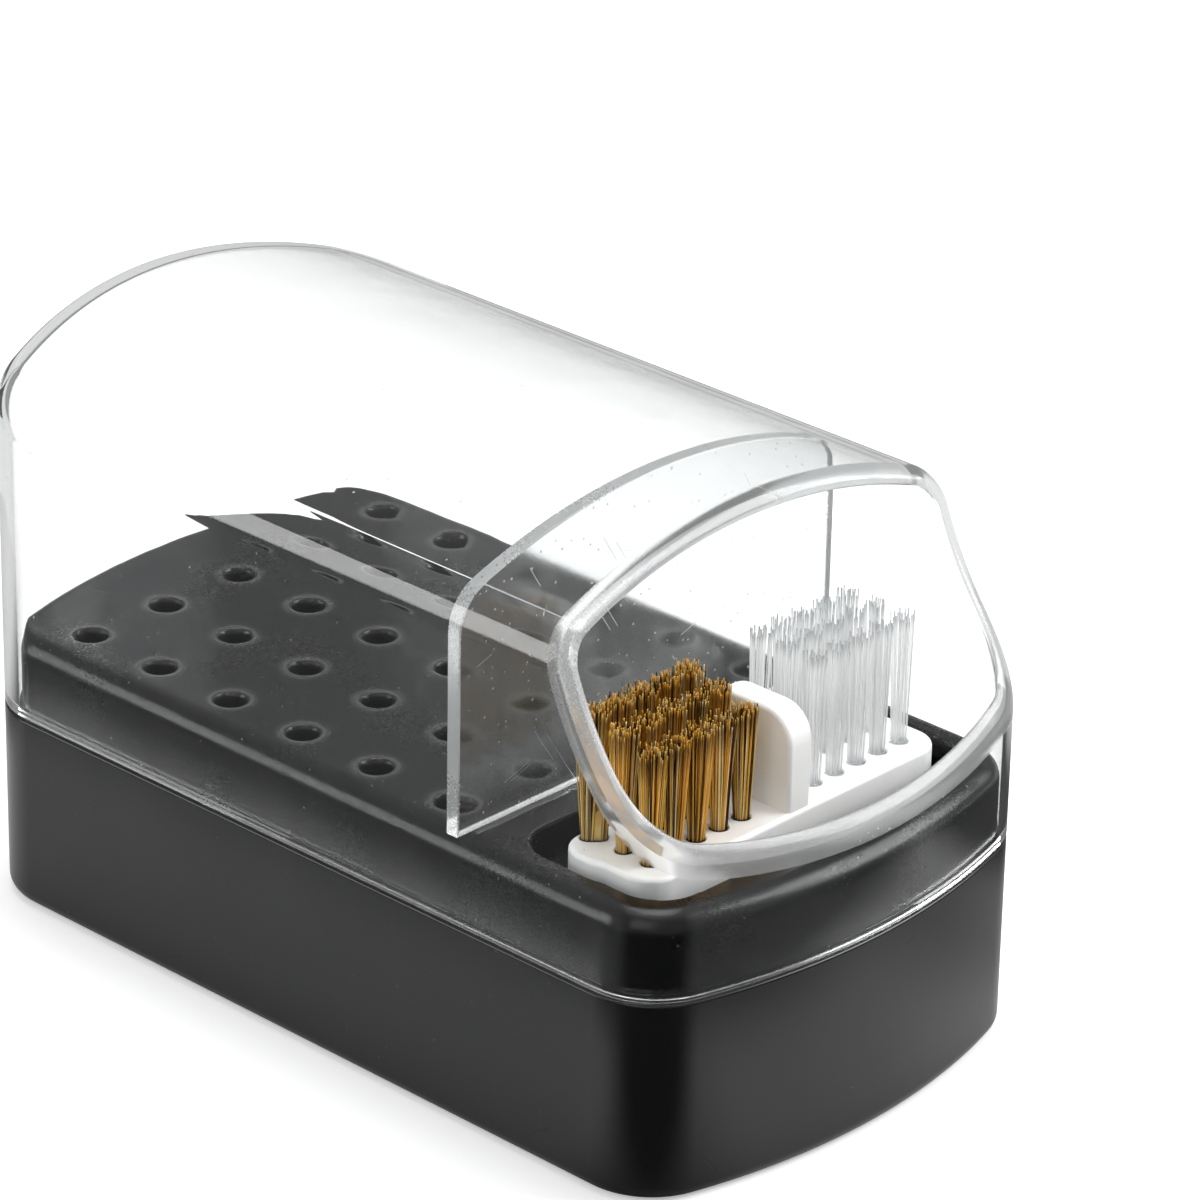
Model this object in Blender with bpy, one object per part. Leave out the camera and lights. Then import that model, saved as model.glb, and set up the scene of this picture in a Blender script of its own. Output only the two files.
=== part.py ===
# Nail drill bit holder: a black socket tray on a black base, under a clear lift-off
# cover whose scooped front window opens over a removable cleaning brush.
# Metres, +Z up, the window faces -Y, and the origin is at the bottom centre.

import math
import random

import bmesh
import bpy
from mathutils import Matrix, Vector

MM = 0.001
VIEW_CLEARNESS_SHARE = 0.7

# Plan outline, shared by the base, the tray and the cover
PLAN_WIDTH = 62.0 * MM
PLAN_LENGTH = 114.0 * MM
BOW_RISE = 6.0 * MM
CORNER_RADIUS = 9.5 * MM
CORNER_STEPS = 6
BOW_STEPS = 8

# Clearances
SEAT_GAP = 0.3 * MM
SLIDE_GAP = 0.4 * MM
OVERRUN = 2.0 * MM

# Base
SEAM_HEIGHT = 23.8 * MM
BASE_FLOOR = 2.4 * MM
BASE_STEP_HEIGHT = 18.0 * MM
BASE_STEP_WIDTH = 1.7 * MM
BASE_FOOT_RADIUS = 1.8 * MM
FOOT_RIM_WIDTH = 5.0 * MM
FOOT_RECESS = 0.6 * MM

# Tray
TRAY_TOP = 33.55 * MM
TRAY_EDGE_RADIUS = 2.7 * MM
TRAY_WALL = 1.8 * MM
DECK_THICKNESS = 2.0 * MM

# Bit sockets
SOCKET_COLUMNS = 5
SOCKET_ROWS = 6
SOCKET_SIDE_MARGIN = 8.0 * MM
SOCKET_FRONT_MARGIN = 5.1 * MM
SOCKET_REAR_MARGIN = 16.1 * MM
SOCKET_BORE = 3.0 * MM
SOCKET_MOUTH = 4.3 * MM
SOCKET_MOUTH_DEPTH = 0.7 * MM
SOCKET_DEPTH = 26.0 * MM
SOCKET_WALL = 1.1 * MM
SOCKET_SIDES = 14

# Brush pocket in the tray
POCKET_SIDE_MARGIN = 5.9 * MM
POCKET_FROM_FRONT = 19.05 * MM
POCKET_WIDTH = 20.9 * MM
POCKET_CORNER = 5.0 * MM
POCKET_DEPTH = 4.05 * MM
POCKET_WALL = 1.5 * MM
PEG_DIAMETER = 3.0 * MM
PEG_HEIGHT = 2.6 * MM
PEG_END_MARGIN = 7.7 * MM

# Clear cover
COVER_WALL = 1.6 * MM
COVER_APEX = 68.2 * MM
ARCH_RADIUS = 79.0 * MM
SHOULDER_REACH = 3.7 * MM
END_RIM_REACH = 1.6 * MM
RIM_STEPS = 6
INNER_REACH_SHARE = 0.5
SCOOP_SILL = 4.6 * MM
SCOOP_SETBACK = 20.0 * MM
SCOOP_OVER_APEX = 4.7 * MM
WINDOW_EDGE_FRONT = 1.7 * MM
WINDOW_EDGE_SIDE = 2.5 * MM
WINDOW_EDGE_TOP = 1.9 * MM
WINDOW_EDGE_ROUND = 0.35 * MM
WINDOW_RIM_ROUND = 2.0 * MM
WINDOW_RIM_DEPTH = 1.7 * MM
WINDOW_RIM_STEPS = 5
WINDOW_SIDE_STEPS = 4

# Partition behind the brush
PARTITION_THICKNESS = 1.8 * MM
PARTITION_SETBACK = 4.0 * MM

# Brush block
BLOCK_END_GAP = 1.4 * MM
BLOCK_WIDTH = 13.1 * MM
BLOCK_FORWARD = 1.0 * MM
BLOCK_TOP = 34.5 * MM
BLOCK_CORNER = 3.6 * MM
BLOCK_EDGE = 0.6 * MM
FIN_THICKNESS = 3.6 * MM
FIN_HEIGHT = 11.5 * MM
FIN_CORNER = 3.8 * MM
FIN_SETBACK = 0.3 * MM

# Tufts
TUFT_COLUMNS = 5
TUFT_ROWS = 3
TUFT_PITCH_Y = 4.05 * MM
TUFT_FIRST_X = 5.7 * MM
TUFT_END_MARGIN = 3.8 * MM
TUFT_ROW_SHIFT = 1.05 * MM
TUFT_WIDTH_SHARE = 0.535
TUFT_CELLS = 4
TUFT_ROOT = 1.6 * MM
TUFT_HOLE_SIDES = 8
STRAND_INSET_SHARE = 0.147
TIP_SCATTER = 0.55 * MM
TIP_SPREAD_SHARE = 0.72
TIP_WIDTH_SHARE = 0.78
BRASS_ROW_HEIGHTS = (12.9 * MM, 14.0 * MM, 14.8 * MM)
NYLON_ROW_HEIGHTS = (15.2 * MM, 15.4 * MM, 15.2 * MM)

# Worked out from the sizes above
HALF_WIDTH = PLAN_WIDTH / 2
HALF_LENGTH = PLAN_LENGTH / 2
BOW_RADIUS = (HALF_WIDTH ** 2 + BOW_RISE ** 2) / (2 * BOW_RISE)
BOW_CENTRE_Y = HALF_LENGTH - BOW_RADIUS
CORNER_X = HALF_WIDTH - CORNER_RADIUS
CORNER_Y = BOW_CENTRE_Y + math.sqrt((BOW_RADIUS - CORNER_RADIUS) ** 2 - CORNER_X ** 2)
TRAY_INSET = COVER_WALL + SLIDE_GAP
BASE_WALL = TRAY_INSET - SEAT_GAP
POCKET_LENGTH = PLAN_WIDTH - 2 * POCKET_SIDE_MARGIN
POCKET_CENTRE_Y = POCKET_FROM_FRONT - HALF_LENGTH
POCKET_FLOOR = TRAY_TOP - POCKET_DEPTH
BLOCK_LENGTH = POCKET_LENGTH - 2 * BLOCK_END_GAP
BLOCK_CENTRE_Y = POCKET_CENTRE_Y - BLOCK_FORWARD
BLOCK_BOTTOM = POCKET_FLOOR + SEAT_GAP
PEG_X = BLOCK_LENGTH / 2 - PEG_END_MARGIN
TUFT_PITCH_X = (BLOCK_LENGTH / 2 - TUFT_END_MARGIN - TUFT_FIRST_X) / (TUFT_COLUMNS - 1)
TUFT_WIDTH = TUFT_PITCH_X * TUFT_WIDTH_SHARE
TUFT_CELL = TUFT_WIDTH / TUFT_CELLS
PARTITION_FRONT_Y = POCKET_CENTRE_Y + POCKET_WIDTH / 2 + PARTITION_SETBACK
SOCKET_FIRST_Y = PARTITION_FRONT_Y + PARTITION_THICKNESS + SOCKET_FRONT_MARGIN
SOCKET_ROW_PITCH = (HALF_LENGTH - SOCKET_REAR_MARGIN - SOCKET_FIRST_Y) / (SOCKET_ROWS - 1)
SOCKET_FIRST_X = SOCKET_SIDE_MARGIN - HALF_WIDTH
SOCKET_COLUMN_PITCH = -2 * SOCKET_FIRST_X / (SOCKET_COLUMNS - 1)
COVER_BOTTOM = SEAM_HEIGHT + SEAT_GAP
ARCH_CENTRE_Z = COVER_APEX - ARCH_RADIUS
SCOOP_LOW = (-HALF_LENGTH, TRAY_TOP + SCOOP_SILL)
SCOOP_HIGH = (SCOOP_SETBACK - HALF_LENGTH, COVER_APEX)
SCOOP_AXIS_Z = COVER_APEX + SCOOP_OVER_APEX
SCOOP_AXIS_Y = (
    SCOOP_HIGH[0] ** 2 - SCOOP_LOW[0] ** 2
    + (SCOOP_HIGH[1] - SCOOP_AXIS_Z) ** 2 - (SCOOP_LOW[1] - SCOOP_AXIS_Z) ** 2
) / (2 * (SCOOP_HIGH[0] - SCOOP_LOW[0]))
SCOOP_RADIUS = math.hypot(SCOOP_LOW[0] - SCOOP_AXIS_Y, SCOOP_LOW[1] - SCOOP_AXIS_Z)


def clear_scene():
    for item in list(bpy.data.objects):
        bpy.data.objects.remove(item, do_unlink=True)


def make_material(name, colour, roughness, metallic=0.0, transmission=0.0):
    material = bpy.data.materials.new(name)
    material.use_nodes = True
    shader = material.node_tree.nodes["Principled BSDF"]
    shader.inputs["Base Color"].default_value = (*colour, 1.0)
    shader.inputs["Roughness"].default_value = roughness
    shader.inputs["Metallic"].default_value = metallic
    shader.inputs["Transmission Weight"].default_value = transmission
    material.diffuse_color = (*colour, 1.0 - VIEW_CLEARNESS_SHARE * transmission)
    return material


def add_object(name, form, material=None, parent=None, place=(0.0, 0.0, 0.0), smooth=True):
    """Turn a bmesh into a named object, with round faces smooth and real edges sharp."""
    bmesh.ops.recalc_face_normals(form, faces=form.faces)
    mesh = bpy.data.meshes.new(name)
    form.to_mesh(mesh)
    form.free()
    if smooth:
        mesh.shade_smooth()
        mesh.set_sharp_from_angle(angle=math.radians(32))
    item = bpy.data.objects.new(name, mesh)
    bpy.context.scene.collection.objects.link(item)
    item.location = place
    if material:
        mesh.materials.append(material)
    if parent:
        item.parent = parent
        item.matrix_parent_inverse = parent.matrix_world.inverted()
    return item


def add_empty(name, place):
    empty = bpy.data.objects.new(name, None)
    empty.empty_display_size = HALF_WIDTH
    empty.location = place
    bpy.context.scene.collection.objects.link(empty)
    bpy.context.view_layer.update()
    return empty


def hide_cutter(item):
    item.hide_render = True
    item.display_type = "WIRE"
    return item


def add_boolean(item, operation, other):
    modifier = item.modifiers.new(operation.title() + " " + other.name, "BOOLEAN")
    modifier.operation = operation
    modifier.solver = "EXACT"
    modifier.object = other
    return modifier


def end_points():
    """Half of the plan outline, from the right side over the rear bow to the left side.

    Each entry is a point and its outward normal.
    """
    meet = math.atan2(CORNER_Y - BOW_CENTRE_Y, CORNER_X)
    right = []
    for step in range(CORNER_STEPS):
        angle = meet * step / CORNER_STEPS
        normal = Vector((math.cos(angle), math.sin(angle)))
        right.append((Vector((CORNER_X, CORNER_Y)) + normal * CORNER_RADIUS, normal))
    bow = []
    for step in range(BOW_STEPS + 1):
        angle = meet + (math.pi - 2 * meet) * step / BOW_STEPS
        normal = Vector((math.cos(angle), math.sin(angle)))
        bow.append((Vector((0.0, BOW_CENTRE_Y)) + normal * BOW_RADIUS, normal))
    left = []
    for point, normal in reversed(right):
        left.append((Vector((-point.x, point.y)), Vector((-normal.x, normal.y))))
    return right + bow + left


def outline():
    """The whole plan outline, counter-clockwise, with the outward normals."""
    rear = end_points()
    front = [(Vector((p.x, -p.y)), Vector((n.x, -n.y))) for p, n in reversed(rear)]
    return rear + front


def lofted(rings):
    """A closed body through rings of equal count, with ruled bottom and top faces."""
    form = bmesh.new()
    loops = [[form.verts.new(point) for point in ring] for ring in rings]
    count = len(loops[0])
    for lower, upper in zip(loops, loops[1:]):
        for index in range(count):
            following = (index + 1) % count
            form.faces.new((lower[index], lower[following], upper[following], upper[index]))
    half = count // 2
    for loop in (loops[0], loops[-1]):
        for index in range(half - 1):
            opposite = count - 1 - index
            form.faces.new((loop[index], loop[index + 1], loop[opposite - 1], loop[opposite]))
    return form


def flat_ring(inset, height):
    """One level ring of the plan outline, moved inwards by inset."""
    return [(point.x - normal.x * inset, point.y - normal.y * inset, height) for point, normal in outline()]


def tub(inset, bottom, top, bottom_radius=0.0, top_radius=0.0):
    """A body on the plan outline, with its lower and upper edges rounded if asked."""
    rings = []
    if bottom_radius:
        for step in range(RIM_STEPS):
            angle = math.pi / 2 * step / RIM_STEPS
            reach = bottom_radius * (1 - math.sin(angle))
            rise = bottom_radius * (1 - math.cos(angle))
            rings.append(flat_ring(inset + reach, bottom + rise))
        rings.append(flat_ring(inset, bottom + bottom_radius))
    else:
        rings.append(flat_ring(inset, bottom))
    if top_radius:
        for step in range(RIM_STEPS + 1):
            angle = math.pi / 2 * step / RIM_STEPS
            reach = top_radius * (1 - math.cos(angle))
            drop = top_radius * (1 - math.sin(angle))
            rings.append(flat_ring(inset + reach, top - drop))
    else:
        rings.append(flat_ring(inset, top))
    return lofted(rings)


def arch_height(x, inset):
    """Height of the cover's roof at x, measured on the surface that lies inset inside."""
    return ARCH_CENTRE_Z + math.sqrt((ARCH_RADIUS - inset) ** 2 - x ** 2)


def roof_column(point, normal, inset, bottom):
    """A wall of the cover at one place of the plan: its foot, then the round shoulder up to the roof."""
    full = END_RIM_REACH + (SHOULDER_REACH - END_RIM_REACH) * normal.x ** 2
    reach = full - inset * INNER_REACH_SHARE
    foot = point - normal * inset
    column = [(foot.x, foot.y, bottom)]
    for step in range(RIM_STEPS + 1):
        angle = math.pi / 2 * step / RIM_STEPS
        moved = point - normal * (inset + reach * (1 - math.cos(angle)))
        drop = reach * (1 - math.sin(angle))
        column.append((moved.x, moved.y, arch_height(moved.x, inset) - drop))
    return column


def rim_ring(front, side, top, radius, roof_xs):
    """A closed ring round the window, where a cylinder round the scoop's axis meets the inset cover.

    The first part runs down the right side, across the front and up the left side. The second
    runs over the left shoulder, the roof and the right shoulder.
    """
    wall_x = HALF_WIDTH - side
    reach = SHOULDER_REACH - side * INNER_REACH_SHARE
    shoulder = []
    for step in range(RIM_STEPS + 1):
        angle = math.pi / 2 * step / RIM_STEPS
        x = wall_x - reach * (1 - math.cos(angle))
        shoulder.append((x, arch_height(x, top) - reach * (1 - math.sin(angle))))
    high = math.asin((SCOOP_AXIS_Z - shoulder[0][1]) / radius)
    low = math.acos((-CORNER_Y - SCOOP_AXIS_Y) / radius)
    right = []
    for step in range(WINDOW_SIDE_STEPS):
        angle = high + (low - high) * step / WINDOW_SIDE_STEPS
        y = SCOOP_AXIS_Y + radius * math.cos(angle)
        right.append((wall_x, y, SCOOP_AXIS_Z - radius * math.sin(angle)))
    bow = []
    for point, normal in end_points():
        inset = front + (side - front) * normal.x ** 2
        x, y = point.x - normal.x * inset, -point.y + normal.y * inset
        bow.append((x, y, SCOOP_AXIS_Z - math.sqrt(radius ** 2 - (y - SCOOP_AXIS_Y) ** 2)))
    left = [(-x, y, z) for x, y, z in reversed(right)]
    span = shoulder[-1][0] / roof_xs[0]
    crown = [(x * span, arch_height(x * span, top)) for x in roof_xs[1:-1]]
    over = [(-x, z) for x, z in shoulder[1:]] + crown[::-1] + shoulder[:0:-1]
    upper = [(x, SCOOP_AXIS_Y + math.sqrt(radius ** 2 - (z - SCOOP_AXIS_Z) ** 2), z) for x, z in over]
    return right + bow + left, upper


def rim_sections():
    """Insets at the front, side and top, and the cylinder's radius, from the outer skin to the inner."""
    edges = (WINDOW_EDGE_FRONT, WINDOW_EDGE_SIDE, WINDOW_EDGE_TOP)
    sections = []
    for step in range(WINDOW_RIM_STEPS + 1):
        angle = math.pi / 2 * step / WINDOW_RIM_STEPS
        insets = [(edge - WINDOW_EDGE_ROUND) * (1 - math.cos(angle)) for edge in edges]
        sections.append((*insets, SCOOP_RADIUS + WINDOW_RIM_ROUND * (1 - math.sin(angle))))
    sections.append((*edges, SCOOP_RADIUS + WINDOW_EDGE_ROUND))
    sections.append((*edges, SCOOP_RADIUS + WINDOW_RIM_DEPTH))
    sections.append((COVER_WALL, COVER_WALL, COVER_WALL, SCOOP_RADIUS + WINDOW_RIM_ROUND))
    return sections


def add_strip(form, first, second):
    """Quads between two rows of vertices."""
    for index in range(len(first) - 1):
        form.faces.new((first[index], first[index + 1], second[index + 1], second[index]))


def add_skin(form, inset, rim_lower, rim_upper):
    """One skin of the cover, from the ring at the window to the lower edge. Returns the lower edge."""
    columns = [
        [form.verts.new(place) for place in roof_column(point, normal, inset, COVER_BOTTOM)]
        for point, normal in end_points()
    ]
    feet = [form.verts.new((vert.co.x, vert.co.y, COVER_BOTTOM)) for vert in rim_lower]
    add_strip(form, rim_lower, feet)
    for first, second in zip(columns, columns[1:]):
        add_strip(form, first, second)
    left_shoulder = rim_upper[:RIM_STEPS]
    right_shoulder = rim_upper[-RIM_STEPS:][::-1]
    add_strip(form, [feet[0], rim_lower[0]] + right_shoulder, columns[0])
    add_strip(form, [feet[-1], rim_lower[-1]] + left_shoulder, columns[-1])
    crown = rim_upper[RIM_STEPS - 1:len(rim_upper) - RIM_STEPS + 1]
    add_strip(form, crown, [column[-1] for column in reversed(columns)])
    return [column[0] for column in columns] + feet[::-1]


def cylinder(radius, low, high, sides, centre=(0.0, 0.0), top_radius=None):
    """An upright cylinder or cone between two heights."""
    form = bmesh.new()
    bmesh.ops.create_cone(
        form,
        cap_ends=True,
        segments=sides,
        radius1=radius,
        radius2=radius if top_radius is None else top_radius,
        depth=high - low,
        matrix=Matrix.Translation((centre[0], centre[1], (low + high) / 2)),
    )
    return form


def gather(forms):
    """Put several bmeshes that don't touch into one."""
    whole = bmesh.new()
    for form in forms:
        mesh = bpy.data.meshes.new("gathered")
        form.to_mesh(mesh)
        form.free()
        whole.from_mesh(mesh)
        bpy.data.meshes.remove(mesh)
    return whole


def extruded(points, move):
    """A closed body: the flat outline through the points, carried along move."""
    form = bmesh.new()
    face = form.faces.new([form.verts.new(point) for point in points])
    grown = bmesh.ops.extrude_face_region(form, geom=[face])
    carried = [item for item in grown["geom"] if isinstance(item, bmesh.types.BMVert)]
    bmesh.ops.translate(form, verts=carried, vec=move)
    return form


def rounded_box(length, width, corner, low, high, centre_y):
    """A box with round upright corners, centred on x = 0."""
    points = []
    for quarter in range(4):
        start = math.pi / 2 * quarter
        centre_x = (length / 2 - corner) * (1 if quarter in (0, 3) else -1)
        middle_y = centre_y + (width / 2 - corner) * (1 if quarter in (0, 1) else -1)
        for step in range(CORNER_STEPS + 1):
            angle = start + math.pi / 2 * step / CORNER_STEPS
            x = centre_x + corner * math.cos(angle)
            y = middle_y + corner * math.sin(angle)
            points.append((x, y, low))
    return extruded(points, (0.0, 0.0, high - low))


def socket_places():
    for row in range(SOCKET_ROWS):
        for column in range(SOCKET_COLUMNS):
            yield SOCKET_FIRST_X + column * SOCKET_COLUMN_PITCH, SOCKET_FIRST_Y + row * SOCKET_ROW_PITCH


def tuft_places(side):
    """Tuft centres on one half of the block: side -1 is the brass half, +1 the nylon half."""
    for row in range(TUFT_ROWS):
        for column in range(TUFT_COLUMNS):
            x = side * (TUFT_FIRST_X + column * TUFT_PITCH_X)
            y = BLOCK_CENTRE_Y + TUFT_ROW_SHIFT + (row - (TUFT_ROWS - 1) / 2) * TUFT_PITCH_Y
            yield row, column, x, y


def build_base(material):
    base = add_object("base_shell", tub(0.0, 0.0, SEAM_HEIGHT, BASE_FOOT_RADIUS), material)
    lower = tub(BASE_WALL + BASE_STEP_WIDTH, BASE_FLOOR, BASE_STEP_HEIGHT + OVERRUN)
    upper = tub(BASE_WALL, BASE_STEP_HEIGHT, SEAM_HEIGHT + OVERRUN)
    recess = tub(FOOT_RIM_WIDTH, -OVERRUN, FOOT_RECESS)
    for name, form in (("base_well", lower), ("base_mouth", upper), ("foot_recess", recess)):
        add_boolean(base, "DIFFERENCE", hide_cutter(add_object(name, form)))
    return base


def build_tray(material):
    skirt_bottom = BASE_STEP_HEIGHT + SEAT_GAP
    tray = add_object("tray_deck", tub(TRAY_INSET, skirt_bottom, TRAY_TOP, 0.0, TRAY_EDGE_RADIUS), material)
    deck_under = TRAY_TOP - DECK_THICKNESS
    hollow = tub(TRAY_INSET + TRAY_WALL, skirt_bottom - OVERRUN, deck_under)
    add_boolean(tray, "DIFFERENCE", hide_cutter(add_object("tray_hollow", hollow)))
    # Pocket walls and socket sleeves reach up into the deck and are fused with it.
    bury = DECK_THICKNESS / 2
    pocket_shell = rounded_box(
        POCKET_LENGTH + 2 * POCKET_WALL, POCKET_WIDTH + 2 * POCKET_WALL, POCKET_CORNER + POCKET_WALL,
        POCKET_FLOOR - POCKET_WALL, deck_under + bury, POCKET_CENTRE_Y)
    sleeve_radius = SOCKET_BORE / 2 + SOCKET_WALL
    sleeve_bottom = TRAY_TOP - SOCKET_DEPTH - SOCKET_WALL
    sleeves = [
        cylinder(sleeve_radius, sleeve_bottom, deck_under + bury, SOCKET_SIDES, place)
        for place in socket_places()
    ]
    add_boolean(tray, "UNION", hide_cutter(add_object("pocket_shell", pocket_shell)))
    add_boolean(tray, "UNION", hide_cutter(add_object("socket_sleeves", gather(sleeves))))
    pocket = rounded_box(
        POCKET_LENGTH, POCKET_WIDTH, POCKET_CORNER, POCKET_FLOOR, TRAY_TOP + OVERRUN, POCKET_CENTRE_Y)
    add_boolean(tray, "DIFFERENCE", hide_cutter(add_object("pocket", pocket)))
    bores = [
        cylinder(SOCKET_BORE / 2, TRAY_TOP - SOCKET_DEPTH, TRAY_TOP + OVERRUN, SOCKET_SIDES, place)
        for place in socket_places()
    ]
    add_boolean(tray, "DIFFERENCE", hide_cutter(add_object("socket_bores", gather(bores))))
    slope = (SOCKET_MOUTH - SOCKET_BORE) / 2 / SOCKET_MOUTH_DEPTH
    mouths = [
        cylinder(
            SOCKET_BORE / 2, TRAY_TOP - SOCKET_MOUTH_DEPTH, TRAY_TOP + SOCKET_MOUTH_DEPTH, SOCKET_SIDES,
            place, SOCKET_MOUTH / 2 + slope * SOCKET_MOUTH_DEPTH)
        for place in socket_places()
    ]
    add_boolean(tray, "DIFFERENCE", hide_cutter(add_object("socket_mouths", gather(mouths))))
    pegs = [
        cylinder(PEG_DIAMETER / 2, POCKET_FLOOR - POCKET_WALL / 2, POCKET_FLOOR + PEG_HEIGHT, SOCKET_SIDES,
                 (side * PEG_X, BLOCK_CENTRE_Y))
        for side in (-1, 1)
    ]
    add_boolean(tray, "UNION", hide_cutter(add_object("locating_pegs", gather(pegs))))
    return tray


def build_cover(material, lift):
    """The clear cover: two skins joined round the window by its rounded rim, and along the bottom."""
    form = bmesh.new()
    roof_xs = [roof_column(point, normal, 0.0, COVER_BOTTOM)[-1][0] for point, normal in end_points()]
    rings = []
    for section in rim_sections():
        lower, upper = rim_ring(*section, roof_xs)
        rings.append(([form.verts.new(place) for place in lower], [form.verts.new(place) for place in upper]))
    for (lower, upper), (next_lower, next_upper) in zip(rings, rings[1:]):
        add_strip(form, lower + upper + lower[:1], next_lower + next_upper + next_lower[:1])
    outer = add_skin(form, 0.0, *rings[0])
    inner = add_skin(form, COVER_WALL, *rings[-1])
    add_strip(form, outer + outer[:1], inner + inner[:1])
    return add_object("clear_cover", form, material, lift)


def build_partition(material, lift):
    """The clear plate that closes the bit chamber off from the brush."""
    clear = COVER_WALL + SEAT_GAP
    half = HALF_WIDTH - clear
    reach = SHOULDER_REACH - clear * INNER_REACH_SHARE
    bottom = TRAY_TOP + SEAT_GAP
    side = [(half, bottom)]
    for step in range(RIM_STEPS + 1):
        angle = math.pi / 2 * step / RIM_STEPS
        x = half - reach * (1 - math.cos(angle))
        side.append((x, arch_height(x, clear) - reach * (1 - math.sin(angle))))
    crown_start = side[-1][0]
    crown = []
    for step in range(1, 2 * BOW_STEPS):
        x = crown_start * (1 - step / BOW_STEPS)
        crown.append((x, arch_height(x, clear)))
    profile = side + crown + [(-x, z) for x, z in reversed(side)]
    points = [(x, PARTITION_FRONT_Y, z) for x, z in profile]
    form = extruded(points, (0.0, PARTITION_THICKNESS, 0.0))
    return add_object("cover_partition", form, material, lift)


def fin_form():
    """The upright fin: square at its foot, with both upper corners round."""
    half = BLOCK_WIDTH / 2 - FIN_SETBACK
    crown = BLOCK_TOP + FIN_HEIGHT - FIN_CORNER
    foot = BLOCK_TOP - BLOCK_EDGE * 2
    profile = [(-half, foot), (half, foot)]
    for side in (1, -1):
        for step in range(CORNER_STEPS + 1):
            angle = math.pi / 2 * step / CORNER_STEPS
            if side < 0:
                angle = math.pi / 2 - angle
            y = side * (half - FIN_CORNER + FIN_CORNER * math.cos(angle))
            profile.append((y, crown + FIN_CORNER * math.sin(angle)))
    points = [(-FIN_THICKNESS / 2, BLOCK_CENTRE_Y + y, z) for y, z in profile]
    return extruded(points, (FIN_THICKNESS, 0.0, 0.0))


def build_block(material, lift):
    """The white brush plate with its dividing fin and its tuft holes."""
    form = rounded_box(BLOCK_LENGTH, BLOCK_WIDTH, BLOCK_CORNER, BLOCK_BOTTOM, BLOCK_TOP, BLOCK_CENTRE_Y)
    block = add_object("brush_block", form, material, lift)
    edge = block.modifiers.new("Edge rounding", "BEVEL")
    edge.width = BLOCK_EDGE
    edge.segments = 2
    edge.limit_method = "ANGLE"
    edge.angle_limit = math.radians(60)
    add_boolean(block, "UNION", hide_cutter(add_object("brush_fin", fin_form())))
    holes = []
    for side in (-1, 1):
        for _, _, x, y in tuft_places(side):
            holes.append(cylinder(
                tuft_hole_radius(), BLOCK_TOP - TUFT_ROOT - 2 * SEAT_GAP, BLOCK_TOP + OVERRUN,
                TUFT_HOLE_SIDES, (x, y)))
    add_boolean(block, "DIFFERENCE", hide_cutter(add_object("tuft_holes", gather(holes))))
    sockets = [
        cylinder(PEG_DIAMETER / 2 + SEAT_GAP, BLOCK_BOTTOM - OVERRUN,
                 POCKET_FLOOR + PEG_HEIGHT + SEAT_GAP, SOCKET_SIDES,
                 (side * PEG_X, BLOCK_CENTRE_Y))
        for side in (-1, 1)
    ]
    add_boolean(block, "DIFFERENCE", hide_cutter(add_object("peg_holes", gather(sockets))))
    return block


def tuft_hole_radius():
    """A round hole that clears the tuft's root, whose corners are its widest points."""
    root_reach = math.hypot(TUFT_WIDTH / 2, TUFT_WIDTH / 2 - TUFT_CELL)
    return (root_reach + SEAT_GAP) / math.cos(math.pi / TUFT_HOLE_SIDES)


def build_tuft(name, material, lift, place, height, seed):
    """One tuft: a root of packed wire from which single strands rise and fan out."""
    chance = random.Random(seed)
    form = bmesh.new()
    bmesh.ops.create_grid(form, x_segments=TUFT_CELLS, y_segments=TUFT_CELLS, size=TUFT_WIDTH / 2)
    reach = TUFT_WIDTH / 2 - TUFT_CELL
    corners = [
        face for face in form.faces
        if min(abs(face.calc_center_median().x), abs(face.calc_center_median().y)) > reach
    ]
    bmesh.ops.delete(form, geom=corners, context="FACES")
    cells = list(form.faces)
    grown = bmesh.ops.extrude_face_region(form, geom=cells)
    lowered = [item for item in grown["geom"] if isinstance(item, bmesh.types.BMVert)]
    bmesh.ops.translate(form, verts=lowered, vec=(0.0, 0.0, -TUFT_ROOT))
    bmesh.ops.recalc_face_normals(form, faces=form.faces)
    under = [face for face in form.faces if face.normal.z < -0.5]
    bmesh.ops.dissolve_faces(form, faces=under)
    cells = [face for face in form.faces if face.normal.z > 0.5]
    bmesh.ops.inset_individual(form, faces=cells, thickness=TUFT_CELL * STRAND_INSET_SHARE)
    raised = bmesh.ops.extrude_discrete_faces(form, faces=cells)["faces"]
    for face in raised:
        centre = face.calc_center_median()
        tip = height + chance.uniform(-TIP_SCATTER, TIP_SCATTER)
        spread = Vector((centre.x, centre.y, 0.0)) * TIP_SPREAD_SHARE
        for vert in face.verts:
            from_centre = (vert.co - centre) * TIP_WIDTH_SHARE
            vert.co = centre + from_centre + spread + Vector((0.0, 0.0, tip))
    x, y = place
    return add_object(name, form, material, lift, (x, y, BLOCK_TOP - SEAT_GAP), smooth=False)


def build_tufts(brass, nylon, lift):
    kinds = ((-1, "brass_tuft", brass, BRASS_ROW_HEIGHTS), (1, "nylon_tuft", nylon, NYLON_ROW_HEIGHTS))
    for side, stem, material, heights in kinds:
        for row, column, x, y in tuft_places(side):
            number = row * TUFT_COLUMNS + column + 1
            name = f"{stem}_{number:02d}"
            build_tuft(name, material, lift, (x, y), heights[row] + SEAT_GAP, number + side)


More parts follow.
